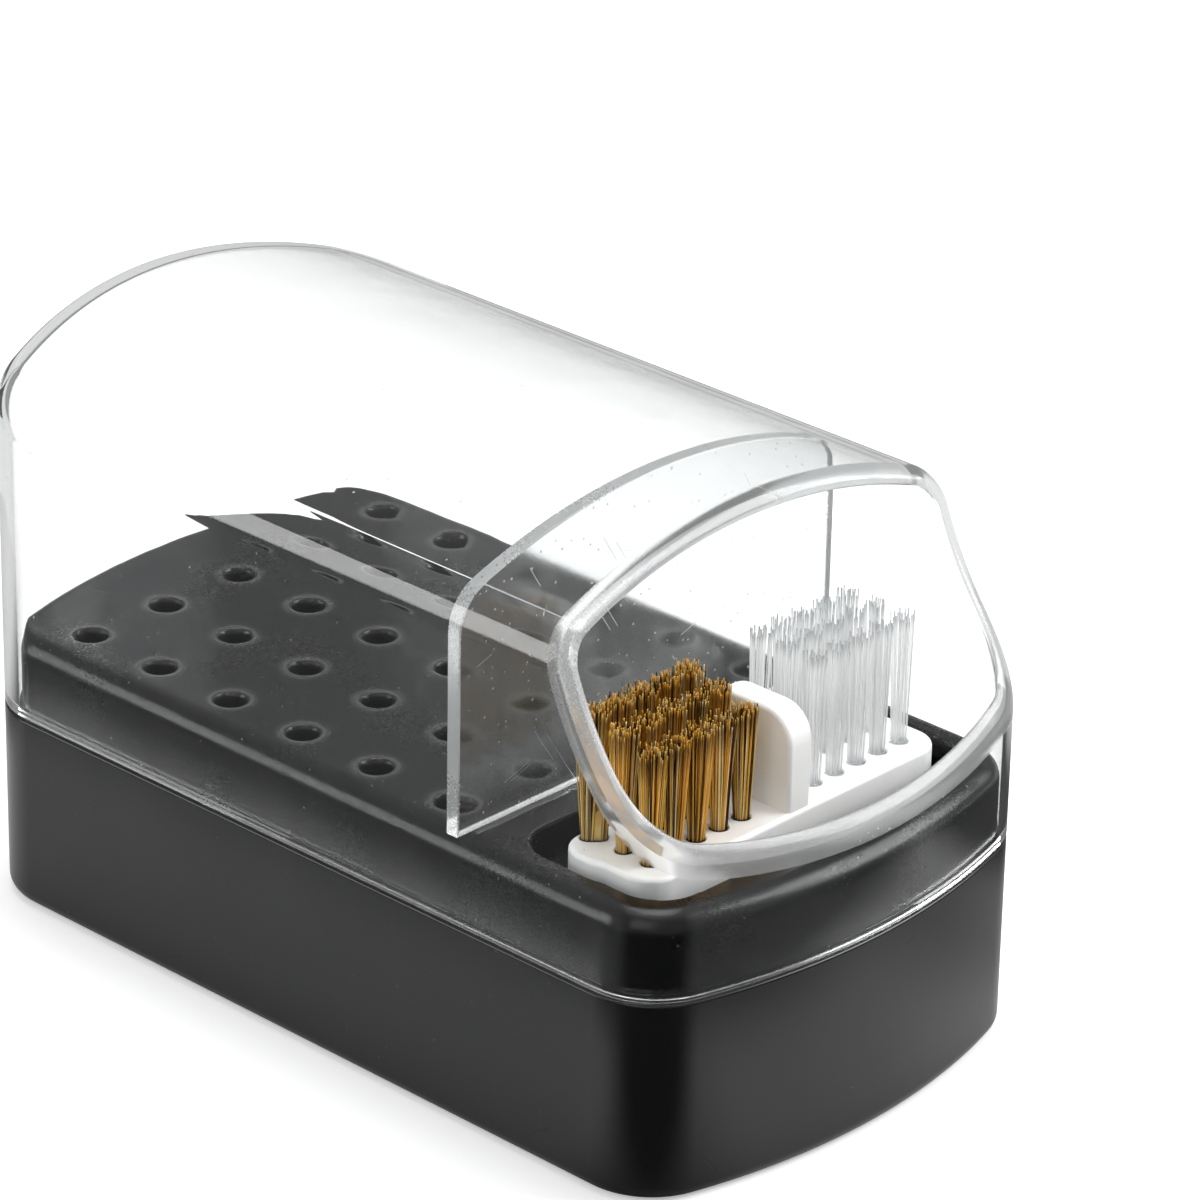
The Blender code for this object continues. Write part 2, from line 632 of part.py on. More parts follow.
def main():
    clear_scene()
    black = make_material("black_plastic", (0.012, 0.012, 0.013), 0.22)
    deck_black = make_material("deck_black_plastic", (0.016, 0.016, 0.017), 0.18)
    clear = make_material("clear_plastic", (0.93, 0.95, 0.95), 0.03, 0.0, 0.9)
    partition_clear = make_material("partition_plastic", (0.88, 0.9, 0.9), 0.04, 0.0, 0.85)
    white = make_material("white_plastic", (0.9, 0.9, 0.89), 0.35)
    brass = make_material("brass_wire", (0.78, 0.5, 0.12), 0.3, 1.0)
    nylon = make_material("nylon_strand", (0.86, 0.88, 0.88), 0.3, 0.0, 0.4)
    cover_lift = add_empty("cover_lift", (0.0, 0.0, COVER_BOTTOM))
    brush_lift = add_empty("brush_lift", (0.0, BLOCK_CENTRE_Y, BLOCK_BOTTOM))
    build_base(black)
    build_tray(deck_black)
    build_cover(clear, cover_lift)
    build_partition(partition_clear, cover_lift)
    build_block(white, brush_lift)
    build_tufts(brass, nylon, brush_lift)


main()
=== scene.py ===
# %% [markdown]
# # Nail drill bit holder
# A black base and socket tray stand under a clear cover. The cover's scooped front opens over a
# cleaning brush with a brass half and a nylon half. This lesson dresses the measured frame: each
# cell makes one piece or one finish.

import math
import random

import bmesh
import bpy
from mathutils import Matrix, Vector


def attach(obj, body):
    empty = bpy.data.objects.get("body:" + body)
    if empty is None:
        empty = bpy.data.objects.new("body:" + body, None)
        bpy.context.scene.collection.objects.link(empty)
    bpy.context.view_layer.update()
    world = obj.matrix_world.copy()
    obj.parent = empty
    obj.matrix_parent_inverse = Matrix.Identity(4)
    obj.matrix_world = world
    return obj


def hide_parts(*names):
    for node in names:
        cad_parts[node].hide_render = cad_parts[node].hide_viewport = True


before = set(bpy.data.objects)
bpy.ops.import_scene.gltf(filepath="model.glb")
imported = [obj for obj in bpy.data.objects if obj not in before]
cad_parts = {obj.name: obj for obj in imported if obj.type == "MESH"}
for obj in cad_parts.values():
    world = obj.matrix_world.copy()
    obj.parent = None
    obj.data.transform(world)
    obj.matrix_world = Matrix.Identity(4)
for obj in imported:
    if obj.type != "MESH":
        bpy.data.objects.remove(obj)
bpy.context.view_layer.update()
MM = 0.001
HALF_WIDTH = 31.0 * MM
HALF_LENGTH = 57.0 * MM

# %% [markdown]
# ## Camera
# The camera stands far off with a long lens, left of the window and a little above, so the long
# side and the bowed front both show with hardly any perspective. Its three axes are worked out
# from azimuth, elevation and a small roll, because a matrix holds all three at once.

# %% Camera
AZIMUTH = math.radians(-46.949)
ELEVATION = math.radians(25.344)
ROLL = math.radians(1.0925)
CAMERA_DISTANCE = 681.10 * MM
CAMERA_TARGET = Vector((27.445, 11.113, 31.0)) * MM
CAMERA_LENS = 176.13
SENSOR_WIDTH = 36.0

camera_back = Vector((
    math.sin(AZIMUTH) * math.cos(ELEVATION),
    -math.cos(AZIMUTH) * math.cos(ELEVATION),
    math.sin(ELEVATION),
))
level_right = (-camera_back).cross(Vector((0.0, 0.0, 1.0))).normalized()
level_up = level_right.cross(-camera_back)
camera_right = math.cos(ROLL) * level_right + math.sin(ROLL) * level_up
camera_up = -math.sin(ROLL) * level_right + math.cos(ROLL) * level_up
camera = bpy.data.objects.new("camera", bpy.data.cameras.new("camera"))
camera.data.lens = CAMERA_LENS
camera.data.sensor_width = SENSOR_WIDTH
camera.data.clip_start = 10 * MM
camera.data.clip_end = 20.0
turn = Matrix((camera_right, camera_up, camera_back)).transposed()
camera.matrix_world = Matrix.Translation(
    CAMERA_TARGET + camera_back * CAMERA_DISTANCE) @ turn.to_4x4()
bpy.context.scene.collection.objects.link(camera)
bpy.context.scene.camera = camera
bpy.context.scene.view_settings.view_transform = "Standard"
print("camera at", [round(v, 3) for v in camera.matrix_world.translation])


# %% [markdown]
# ## Helpers for node trees
# Every finish and light below is built from nodes, so adding one and joining it up comes first.

# %% Helpers for node trees
def shader_of(material):
    return material.node_tree.nodes["Principled BSDF"]


def add_node(tree, kind, inputs=None, **settings):
    """Add a node. An input's value is either a plain value or a socket to link from."""
    made = tree.nodes.new(kind)
    for name, value in settings.items():
        setattr(made, name, value)
    for key, value in (inputs or {}).items():
        if isinstance(value, bpy.types.NodeSocket):
            tree.links.new(value, made.inputs[key])
        else:
            made.inputs[key].default_value = value
    return made


def math_node(tree, operation, first, second=0.0, clamp=False):
    made = add_node(
        tree, "ShaderNodeMath", {0: first, 1: second}, operation=operation, use_clamp=clamp)
    return made.outputs[0]


# %% [markdown]
# ## Studio
# A wide white table and a white surround, which are white wherever they are seen plainly or
# through the clear cover. In mirror reflections they are dimmer, as a studio is beyond its white
# sweep, or black plastic would look grey, and the table is lightest close to the holder. A soft
# key lamp stands at the right, and weaker ones at the left, above and behind. Before the near
# corner the mirrored table is black, as if a black card lay there, and that corner is deep black.

# %% Surround
SKY_UNSEEN = 0.5
SKY_MIRRORED = 0.3


def plain_sight(tree, path):
    """1 where the camera sees this plainly or through clear plastic, else 0."""
    turns = math_node(tree, "ADD", path.outputs["Glossy Depth"], path.outputs["Diffuse Depth"])
    seen = math_node(
        tree, "MAXIMUM", path.outputs["Is Camera Ray"], path.outputs["Is Transmission Ray"])
    return math_node(tree, "MULTIPLY", seen, math_node(tree, "LESS_THAN", turns, 0.5))


def mirrored(tree, path):
    """1 where a glossy surface shows this, also through clear plastic, else 0."""
    turned = math_node(tree, "GREATER_THAN", path.outputs["Glossy Depth"], 0.5)
    return math_node(
        tree, "MULTIPLY", turned, math_node(tree, "LESS_THAN", path.outputs["Diffuse Depth"], 0.5))


world = bpy.data.worlds.new("surround")
bpy.context.scene.world = world
world.use_nodes = True
tree = world.node_tree
path = add_node(tree, "ShaderNodeLightPath")
level = add_node(tree, "ShaderNodeMapRange", {
    "Value": mirrored(tree, path), "To Min": SKY_UNSEEN, "To Max": SKY_MIRRORED})
sky = tree.nodes["Background"]
sky.inputs["Color"].default_value = (1.0, 1.0, 1.0, 1.0)
tree.links.new(
    math_node(tree, "MAXIMUM", plain_sight(tree, path), level.outputs[0]), sky.inputs["Strength"])


# %% Floor
FLOOR_REACH = 1.5
FLOOR_DROP = 0.05 * MM
FLOOR_GREY = 0.9
FLOOR_GLOW = 0.35


def fade(tree, value, start, end, low, high):
    """A smooth step from low at start to high at end."""
    return add_node(tree, "ShaderNodeMapRange", {
        "Value": value, "From Min": start, "From Max": end, "To Min": low, "To Max": high},
        interpolation_type="SMOOTHSTEP").outputs[0]


def object_place(tree):
    return add_node(tree, "ShaderNodeSeparateXYZ", {
        0: add_node(tree, "ShaderNodeTexCoord").outputs["Object"]})


def mirrored_table(tree):
    """The table's tone in reflections: light near the holder, then dark, black at one corner."""
    place = object_place(tree)
    x, y = place.outputs["X"], place.outputs["Y"]
    across = math_node(tree, "SUBTRACT", math_node(tree, "ABSOLUTE", x), HALF_WIDTH)
    along = math_node(tree, "SUBTRACT", math_node(tree, "ABSOLUTE", y), HALF_LENGTH)
    tone = fade(tree, math_node(tree, "MAXIMUM", across, along), 0.026, 0.042, 0.8, 0.1)
    corner = math_node(tree, "MULTIPLY", fade(tree, x, -0.012, -0.034, 0.0, 1.0),
                       fade(tree, y, -0.034, -0.056, 0.0, 1.0))
    tone = math_node(tree, "MULTIPLY", tone, math_node(tree, "SUBTRACT", 1.0, corner))
    dim_right = fade(tree, x, 0.02, 0.05, 1.0, 0.5)
    tone = math_node(tree, "MULTIPLY", tone, dim_right)
    light_behind = fade(tree, math_node(tree, "ADD", x, y), 0.05, 0.1, 0.0, 0.6)
    return math_node(tree, "MAXIMUM", tone, light_behind)


def floor_finish():
    """White in plain sight, with a faint glow, and toned where it is seen in a reflection."""
    finish = bpy.data.materials.new("floor_white")
    finish.use_nodes = True
    tree = finish.node_tree
    path = add_node(tree, "ShaderNodeLightPath")
    tint = add_node(tree, "ShaderNodeMix", {
        "Factor": mirrored(tree, path), 6: (FLOOR_GREY, FLOOR_GREY, FLOOR_GREY, 1.0),
        7: mirrored_table(tree)}, data_type="RGBA")
    glow = add_node(tree, "ShaderNodeMapRange", {
        "Value": plain_sight(tree, path), "To Max": FLOOR_GLOW})
    shader = shader_of(finish)
    shader.inputs["Roughness"].default_value = 0.9
    shader.inputs["Specular IOR Level"].default_value = 0.0
    shader.inputs["Emission Color"].default_value = (1.0, 1.0, 1.0, 1.0)
    tree.links.new(tint.outputs[2], shader.inputs["Base Color"])
    tree.links.new(glow.outputs[0], shader.inputs["Emission Strength"])
    return finish


form = bmesh.new()
bmesh.ops.create_grid(form, x_segments=1, y_segments=1, size=FLOOR_REACH)
bmesh.ops.translate(form, verts=form.verts, vec=(0.0, 0.0, -FLOOR_DROP))
mesh = bpy.data.meshes.new("floor")
form.to_mesh(mesh)
form.free()
mesh.materials.append(floor_finish())
floor = bpy.data.objects.new("floor", mesh)
bpy.context.scene.collection.objects.link(floor)


# %% Lamps
def add_lamp(name, place, size, watts, target=(0.0, 0.0, 0.03)):
    """A square soft lamp that points at the target."""
    lamp = bpy.data.objects.new(name, bpy.data.lights.new(name, "AREA"))
    lamp.data.shape = "RECTANGLE"
    lamp.data.size, lamp.data.size_y = size
    lamp.data.energy = watts
    away = Vector(place) - Vector(target)
    lamp.matrix_world = Matrix.Translation(
        place) @ away.to_track_quat("Z", "Y").to_matrix().to_4x4()
    bpy.context.scene.collection.objects.link(lamp)


add_lamp("lamp_right", (0.62, -0.5, 0.55), (0.55, 0.6), 7.2)
add_lamp("lamp_left", (-0.7, -0.3, 0.6), (0.5, 0.6), 0.9)
add_lamp("lamp_above", (0.1, 0.1, 0.95), (0.6, 0.5), 3.5)
add_lamp("lamp_behind", (-0.6, 0.52, 0.24), (0.4, 0.4), 1.8)


# %% [markdown]
# ## Finishes: shared effects
# Moulded plastic is never quite flat or quite even. Two small effects cover what this holder
# shows: the skin that a mould leaves, and the dust and hairline scratches of use. Each is built
# once as a node group, so that every plastic can use it with its own values.

# %% Helper for node groups
def new_group(name, inputs, outputs):
    """An empty shader group with number inputs and outputs."""
    group = bpy.data.node_groups.new(name, "ShaderNodeTree")
    for label, default in inputs:
        socket = group.interface.new_socket(label, in_out="INPUT", socket_type="NodeSocketFloat")
        socket.default_value = default
    for label in outputs:
        group.interface.new_socket(label, in_out="OUTPUT", socket_type="NodeSocketFloat")
    return group, group.nodes.new("NodeGroupInput"), group.nodes.new("NodeGroupOutput")


# %% Moulded skin
def build_moulded_skin():
    """Slow waves from cooling and a fine grain: a height for bumps, and a mottle for roughness."""
    group, given, result = new_group(
        "moulded_skin", [("Flow", 1.0), ("Grain", 0.1)], ["Height", "Mottle"])
    place = add_node(group, "ShaderNodeTexCoord").outputs["Object"]
    flow = add_node(group, "ShaderNodeTexNoise", {"Vector": place, "Scale": 55.0, "Detail": 1.5})
    grain = add_node(group, "ShaderNodeTexNoise", {"Vector": place, "Scale": 3200.0, "Detail": 1.0})
    waves = math_node(group, "MULTIPLY", flow.outputs["Fac"], given.outputs["Flow"])
    pores = math_node(group, "MULTIPLY", grain.outputs["Fac"], given.outputs["Grain"])
    group.links.new(math_node(group, "ADD", waves, pores), result.inputs["Height"])
    mottle = math_node(group, "ADD", math_node(group, "MULTIPLY", flow.outputs["Fac"], 0.7),
                       math_node(group, "MULTIPLY", grain.outputs["Fac"], 0.3))
    group.links.new(mottle, result.inputs["Mottle"])
    return group


moulded_skin = build_moulded_skin()
print("moulded skin:", len(moulded_skin.nodes), "nodes")


# %% Dust and scratches
SPECKS = ((330.0, 0.06), (900.0, 0.13))
HAIRLINES = (((0.8, 0.3, 0.52), 0.0017), ((-0.3, 0.25, 0.92), 0.0031))
HAIRLINE_HALF_WIDTH = 0.04 * MM


def build_dust_and_scratches():
    """Specks where a random cell holds one, and one hairline somewhere in each strip of space."""
    group, given, result = new_group(
        "dust_and_scratches", [("Dust", 0.2), ("Scratches", 0.3)], ["Dust", "Scratches"])
    place = add_node(group, "ShaderNodeTexCoord").outputs["Object"]
    specks = None
    for scale, size in SPECKS:
        cells = add_node(group, "ShaderNodeTexVoronoi", {"Vector": place, "Scale": scale})
        parts = add_node(group, "ShaderNodeSeparateColor", {0: cells.outputs["Color"]})
        near = math_node(group, "LESS_THAN", cells.outputs["Distance"], size)
        chosen = math_node(group, "LESS_THAN", parts.outputs[0], given.outputs["Dust"])
        speck = math_node(group, "MULTIPLY", near, chosen)
        specks = speck if specks is None else math_node(group, "MAXIMUM", specks, speck)
    group.links.new(specks, result.inputs["Dust"])
    lines = None
    for direction, spacing in HAIRLINES:
        across = add_node(
            group, "ShaderNodeVectorMath", {0: place, 1: direction}, operation="DOT_PRODUCT")
        turn = math_node(group, "DIVIDE", across.outputs["Value"], spacing)
        strip = math_node(group, "FLOOR", turn)
        chance = add_node(
            group, "ShaderNodeTexWhiteNoise", {"W": strip}, noise_dimensions="1D").outputs["Value"]
        off = math_node(group, "SUBTRACT", math_node(group, "FRACT", turn), chance)
        line = math_node(
            group, "LESS_THAN", math_node(group, "ABSOLUTE", off), HAIRLINE_HALF_WIDTH / spacing)
        patch = add_node(group, "ShaderNodeTexNoise", {
            "Vector": place, "W": math_node(group, "MULTIPLY", strip, 3.7),
            "Scale": 110.0, "Detail": 0.0},
            noise_dimensions="4D")
        reach = math_node(group, "ADD", math_node(
            group, "MULTIPLY", given.outputs["Scratches"], 0.3), 0.15)
        line = math_node(group, "MULTIPLY", line, math_node(
            group, "LESS_THAN", patch.outputs["Fac"], reach))
        lines = line if lines is None else math_node(group, "MAXIMUM", lines, line)
    group.links.new(lines, result.inputs["Scratches"])
    return group


dust_and_scratches = build_dust_and_scratches()
print("dust and scratches:", len(dust_and_scratches.nodes), "nodes")


# %% Helpers for finishes
def make_finish(name, colour, roughness, **values):
    """A plain Principled finish. Further sockets are set by their names, with _ for each space."""
    finish = bpy.data.materials.new(name)
    finish.use_nodes = True
    shader = shader_of(finish)
    shader.inputs["Base Color"].default_value = (*colour, 1.0)
    shader.inputs["Roughness"].default_value = roughness
    for key, value in values.items():
        shader.inputs[key.replace("_", " ")].default_value = value
    return finish


def use_group(tree, group, **values):
    placed = add_node(tree, "ShaderNodeGroup", node_tree=group)
    for key, value in values.items():
        placed.inputs[key].default_value = value
    return placed


def mould(finish, colour, dusty_colour, rough_low, rough_high, flow, grain, depth, dust,
          scratches, wear=0.35):
    """Give a plastic its moulded skin, its specks of dust and its hairline scratches."""
    tree = finish.node_tree
    shader = shader_of(finish)
    skin = use_group(tree, moulded_skin, Flow=flow, Grain=grain)
    marks = use_group(tree, dust_and_scratches, Dust=dust, Scratches=scratches)
    rough = add_node(tree, "ShaderNodeMapRange", {
        "Value": skin.outputs["Mottle"], "From Min": 0.3, "From Max": 0.7,
        "To Min": rough_low, "To Max": rough_high})
    worn = math_node(tree, "MULTIPLY", math_node(
        tree, "MAXIMUM", marks.outputs["Dust"], marks.outputs["Scratches"]), wear)
    tree.links.new(
        math_node(tree, "ADD", rough.outputs[0], worn, clamp=True), shader.inputs["Roughness"])
    tint = add_node(tree, "ShaderNodeMix", {
        "Factor": marks.outputs["Dust"], 6: (*colour, 1.0), 7: (*dusty_colour, 1.0)},
        data_type="RGBA")
    tree.links.new(tint.outputs[2], shader.inputs["Base Color"])
    bump = add_node(tree, "ShaderNodeBump", {
        "Height": skin.outputs["Height"], "Strength": 1.0, "Distance": depth})
    tree.links.new(bump.outputs[0], shader.inputs["Normal"])
    return finish


def let_lamps_through(finish, colour=(0.94, 0.95, 0.95), turns=6.5):
    """Lamp rays pass straight through, so what stands under the clear cover is lit.

    So does light that has taken this many turns in clear walls, which would end up black.
    """
    tree = finish.node_tree
    path = tree.nodes.new("ShaderNodeLightPath")
    caught = math_node(tree, "GREATER_THAN", path.outputs["Glossy Depth"], 1.5)
    deep = math_node(tree, "GREATER_THAN", path.outputs["Ray Depth"], turns)
    straight = math_node(tree, "MAXIMUM", math_node(
        tree, "MAXIMUM", caught, deep), path.outputs["Is Shadow Ray"])
    clear = add_node(tree, "ShaderNodeBsdfTransparent", {"Color": (*colour, 1.0)})
    mix = add_node(tree, "ShaderNodeMixShader", {
        0: straight, 1: shader_of(finish).outputs["BSDF"], 2: clear.outputs["BSDF"]})
    tree.links.new(mix.outputs["Shader"], tree.nodes["Material Output"].inputs["Surface"])


# %% [markdown]
# ## The plan outline
# Base, tray and cover share one plan: two straight sides, two bowed ends and four round corners.
# A quarter of it is two spins, and two mirrors make the rest, so every level loop has its
# vertices in the same places and neighbouring loops bridge cleanly.

# %% Plan loops
BOW_RISE = 6.0 * MM
CORNER_RADIUS = 9.5 * MM
BOW_RADIUS = (HALF_WIDTH ** 2 + BOW_RISE ** 2) / (2 * BOW_RISE)
BOW_CENTRE_Y = HALF_LENGTH - BOW_RADIUS
CORNER_X = HALF_WIDTH - CORNER_RADIUS
CORNER_Y = BOW_CENTRE_Y + math.sqrt((BOW_RADIUS - CORNER_RADIUS) ** 2 - CORNER_X ** 2)
CORNER_TURN = math.atan2(CORNER_Y - BOW_CENTRE_Y, CORNER_X)
CORNER_STEPS = 14
BOW_STEPS = 16
WELD = 0.002 * MM
UP = (0.0, 0.0, 1.0)


def mirror_new(form, before, axes):
    """Mirror what was added since before, and join it along the middle."""
    for axis in axes:
        edges = [edge for edge in form.edges if edge not in before]
        verts = {vert for edge in edges for vert in edge.verts}
        bmesh.ops.mirror(form, geom=list(verts) + edges, axis=axis, merge_dist=WELD)
    return [edge for edge in form.edges if edge not in before]


def draw_on(form, vert, place):
    """Extrude one vertex to a place, which draws an edge."""
    drawn = bmesh.ops.extrude_vert_indiv(form, verts=[vert])["verts"][0]
    drawn.co = place
    return drawn


def add_plan_loop(form, inset, height):
    """The plan outline as one level loop, moved inwards by inset. Returns its edges."""
    before = set(form.edges)
    middle = form.verts.new((HALF_WIDTH - inset, 0.0, height))
    start = draw_on(form, middle, (HALF_WIDTH - inset, CORNER_Y, height))
    corner = bmesh.ops.spin(
        form, geom=[start], cent=(CORNER_X, CORNER_Y, height), axis=UP,
        angle=CORNER_TURN, steps=CORNER_STEPS)
    bmesh.ops.spin(
        form, geom=corner["geom_last"], cent=(0.0, BOW_CENTRE_Y, height), axis=UP,
        angle=math.pi / 2 - CORNER_TURN, steps=BOW_STEPS)
    return mirror_new(form, before, "XY")


def arc(centre, radius, start, end, steps):
    """Profile points on an arc, as (inset, height) pairs. The angles are in degrees."""
    angles = [math.radians(start + (end - start) * step / steps) for step in range(steps + 1)]
    return [(centre[0] + radius * math.cos(a), centre[1] + radius * math.sin(a)) for a in angles]


def sweep(form, rows, add_loop):
    """A closed body: a loop for each (inset, height) row, each bridged to the next, ends filled.

    Loops on one level would bridge crosswise, so they are stacked apart first and lowered after.
    """
    loops = [
        add_loop(form, inset * MM, level * HALF_WIDTH) for level, (inset, _) in enumerate(rows)]
    for first, second in zip(loops, loops[1:]):
        bmesh.ops.bridge_loops(form, edges=first + second)
    for loop in (loops[0], loops[-1]):
        bmesh.ops.contextual_create(form, geom=loop)
    for loop, (_, height) in zip(loops, rows):
        for vert in {vert for edge in loop for vert in edge.verts}:
            vert.co.z = height * MM
    return form


# %% Turning a form into a piece
def add_piece(name, form, body, finish, nodes, crease=35.0):
    """A finished piece at the origin, smooth but for its edges, in place of the named nodes."""
    bmesh.ops.recalc_face_normals(form, faces=form.faces)
    mesh = bpy.data.meshes.new(name)
    form.to_mesh(mesh)
    form.free()
    mesh.shade_smooth()
    mesh.set_sharp_from_angle(angle=math.radians(crease))
    mesh.materials.append(finish)
    piece = bpy.data.objects.new(name, mesh)
    bpy.context.scene.collection.objects.link(piece)
    even = piece.modifiers.new("Even shading", "WEIGHTED_NORMAL")
    even.keep_sharp = True
    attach(piece, body)
    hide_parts(*nodes)
    print(name, len(mesh.polygons), "faces")
    return piece


def carve(form, cutter, operation="DIFFERENCE"):
    """The form less, or joined with, the cutter. Both are used up, and a new form comes back."""
    pair = []
    for label, part in (("body", form), ("cutter", cutter)):
        bmesh.ops.recalc_face_normals(part, faces=part.faces)
        mesh = bpy.data.meshes.new(label)
        part.to_mesh(mesh)
        part.free()
        pair.append(bpy.data.objects.new(label, mesh))
        bpy.context.scene.collection.objects.link(pair[-1])
    cut = pair[0].modifiers.new("Cut", "BOOLEAN")
    cut.operation = operation
    cut.solver = "EXACT"
    cut.object = pair[1]
    carved = bmesh.new()
    carved.from_object(pair[0], bpy.context.evaluated_depsgraph_get())
    bmesh.ops.remove_doubles(carved, verts=carved.verts, dist=WELD)
    bmesh.ops.dissolve_degenerate(carved, edges=carved.edges, dist=WELD)
    for item in pair:
        mesh = item.data
        bpy.data.objects.remove(item)
        bpy.data.meshes.remove(mesh)
    return carved


# %% [markdown]
# ## Black base
# The base is an injection-moulded tub: a foot rim that is rounded all round and recessed in the
# middle, plain walls, and a ledge inside where the tray sits. Its whole section is one profile
# swept round the plan, which keeps the fillets even where a bevel would pinch at the corners.

# %% Base
base_black = mould(
    make_finish("base_black", (0.006, 0.006, 0.0065), 0.24),
    (0.006, 0.006, 0.0065), (0.05, 0.05, 0.05), 0.2, 0.27, 1.0, 0.02, 0.00012, 0.02, 0.1)

base_rows = [(5.0, 0.6), (5.0, 0.12), (4.88, 0.0)]
base_rows += arc((1.8, 1.8), 1.8, -90.0, -180.0, 10)
base_rows += arc((0.3, 23.5), 0.3, 180.0, 90.0, 5)
base_rows += [(1.55, 23.8), (1.7, 23.65), (1.7, 18.0), (3.4, 18.0), (3.4, 2.4)]
add_piece("base_moulding", sweep(bmesh.new(), base_rows, add_plan_loop),
          "base", base_black, ["base_shell"])

# %% [markdown]
# ## Socket tray
# The tray is a second moulding that stands up out of the base: a skirt, a wide round edge and a
# flat deck with thirty sockets and a pocket for the brush. The outside is swept like the base. The
# sockets are turned shapes with a flared mouth, laid out in a grid and cut out of the deck.

# %% Turned and box-shaped helpers
def lathe(profile, sides):
    """Spin a profile of (radius, height) points round the vertical, and fill both ends."""
    form = bmesh.new()
    radius, height = profile[0]
    vert = form.verts.new((radius * MM, 0.0, height * MM))
    for radius, height in profile[1:]:
        vert = draw_on(form, vert, (radius * MM, 0.0, height * MM))
    geom = list(form.verts) + list(form.edges)
    bmesh.ops.spin(
        form, geom=geom, cent=(0.0, 0.0, 0.0), axis=UP, angle=2 * math.pi,
        steps=sides, use_merge=True)
    bmesh.ops.remove_doubles(form, verts=form.verts, dist=WELD)
    bmesh.ops.holes_fill(form, edges=form.edges, sides=0)
    return form


def repeat(form, places):
    """Copies of the form at each place, and the form itself moved to the first one."""
    original = list(form.verts) + list(form.edges) + list(form.faces)
    for x, y in places[1:]:
        copied = bmesh.ops.duplicate(form, geom=original)["geom"]
        verts = [item for item in copied if isinstance(item, bmesh.types.BMVert)]
        bmesh.ops.translate(form, verts=verts, vec=(x, y, 0.0))
    first = [item for item in original if isinstance(item, bmesh.types.BMVert)]
    bmesh.ops.translate(form, verts=first, vec=(*places[0], 0.0))
    return form


def box_loop(half_length, half_width, corner, centre_y):
    """A maker of level loops round a rectangle with round corners."""
    def add_loop(form, inset, height):
        before = set(form.edges)
        x, y, radius = half_length - inset, half_width - inset, corner - inset
        vert = form.verts.new((x, 0.0, height))
        vert = draw_on(form, vert, (x, y - radius, height))
        turned = bmesh.ops.spin(
            form, geom=[vert], cent=(x - radius, y - radius, height), axis=UP,
            angle=math.pi / 2, steps=12)
        draw_on(form, turned["geom_last"][0], (0.0, y, height))
        edges = mirror_new(form, before, "XY")
        bmesh.ops.translate(
            form, verts=list({v for e in edges for v in e.verts}), vec=(0.0, centre_y, 0.0))
        return edges
    return add_loop


# %% Tray
POCKET_Y = -37.95 * MM
BLOCK_Y = -38.95 * MM
TRAY_TOP = 33.55
SOCKET_PITCH = 11.5
FIRST_SOCKET = (-23.0, -16.6)
SOCKET_ROWS = 6
SOCKET_COLUMNS = 5
SOCKET_RADIUS = 1.5
SOCKET_DEPTH = 26.0
MOUTH_RADIUS = 2.2
MOUTH_ROUND = 0.35
socket_places = [
    ((FIRST_SOCKET[0] + SOCKET_PITCH * column) * MM, (FIRST_SOCKET[1] + SOCKET_PITCH * row) * MM)
    for row in range(SOCKET_ROWS) for column in range(SOCKET_COLUMNS)]
peg_places = [(-16.0 * MM, BLOCK_Y), (16.0 * MM, BLOCK_Y)]

tray_rows = [(3.8, 31.55), (3.8, 18.3), (2.0, 18.3)]
tray_rows += arc((4.7, TRAY_TOP - 2.7), 2.7, 180.0, 90.0, 14)
tray = sweep(bmesh.new(), tray_rows, add_plan_loop)
tray = carve(tray, repeat(lathe([(2.6, 6.45), (2.6, 32.5)], 24), socket_places), "UNION")
pocket_wall = box_loop(26.6 * MM, 11.95 * MM, 6.5 * MM, POCKET_Y)
tray = carve(tray, sweep(bmesh.new(), [(0.0, 28.0), (0.0, 32.5)], pocket_wall), "UNION")
pocket_side = box_loop(25.1 * MM, 10.45 * MM, 5.0 * MM, POCKET_Y)
pocket_rows = [(0.0, 29.5)] + arc(
    (-0.4, TRAY_TOP - 0.4), 0.4, 0.0, 90.0, 6) + [(-0.4, TRAY_TOP + 1.0)]
tray = carve(tray, sweep(bmesh.new(), pocket_rows, pocket_side))
socket_profile = [(SOCKET_RADIUS, TRAY_TOP - SOCKET_DEPTH), (SOCKET_RADIUS, TRAY_TOP - 0.95)]
socket_profile += arc((MOUTH_RADIUS, TRAY_TOP - MOUTH_ROUND), MOUTH_ROUND, 155.0, 90.0, 6)
socket_profile += [(MOUTH_RADIUS, TRAY_TOP + 1.0)]
tray = carve(tray, repeat(lathe(socket_profile, 40), socket_places))
peg_profile = [(1.5, 28.6), (1.5, 31.7), (1.1, 32.1)]
tray = carve(tray, repeat(lathe(peg_profile, 24), peg_places), "UNION")

tray_black = mould(
    make_finish("tray_black", (0.007, 0.007, 0.0075), 0.2),
    (0.007, 0.007, 0.0075), (0.07, 0.07, 0.07), 0.2, 0.3, 1.0, 0.01, 0.00012, 0.02, 0.05)


# Painted highlight: a pale ring in the tray's colour round each socket's mouth stands in for the
# lit edge of its countersink.
HIGHLIGHT_START, HIGHLIGHT_CREST, HIGHLIGHT_END = 1.9 * MM, 2.3 * MM, 3.4 * MM
HIGHLIGHT_GREY = (0.045, 0.045, 0.046, 1.0)
DECK_FRONT, DECK_REAR = -21.5 * MM, 46.0 * MM


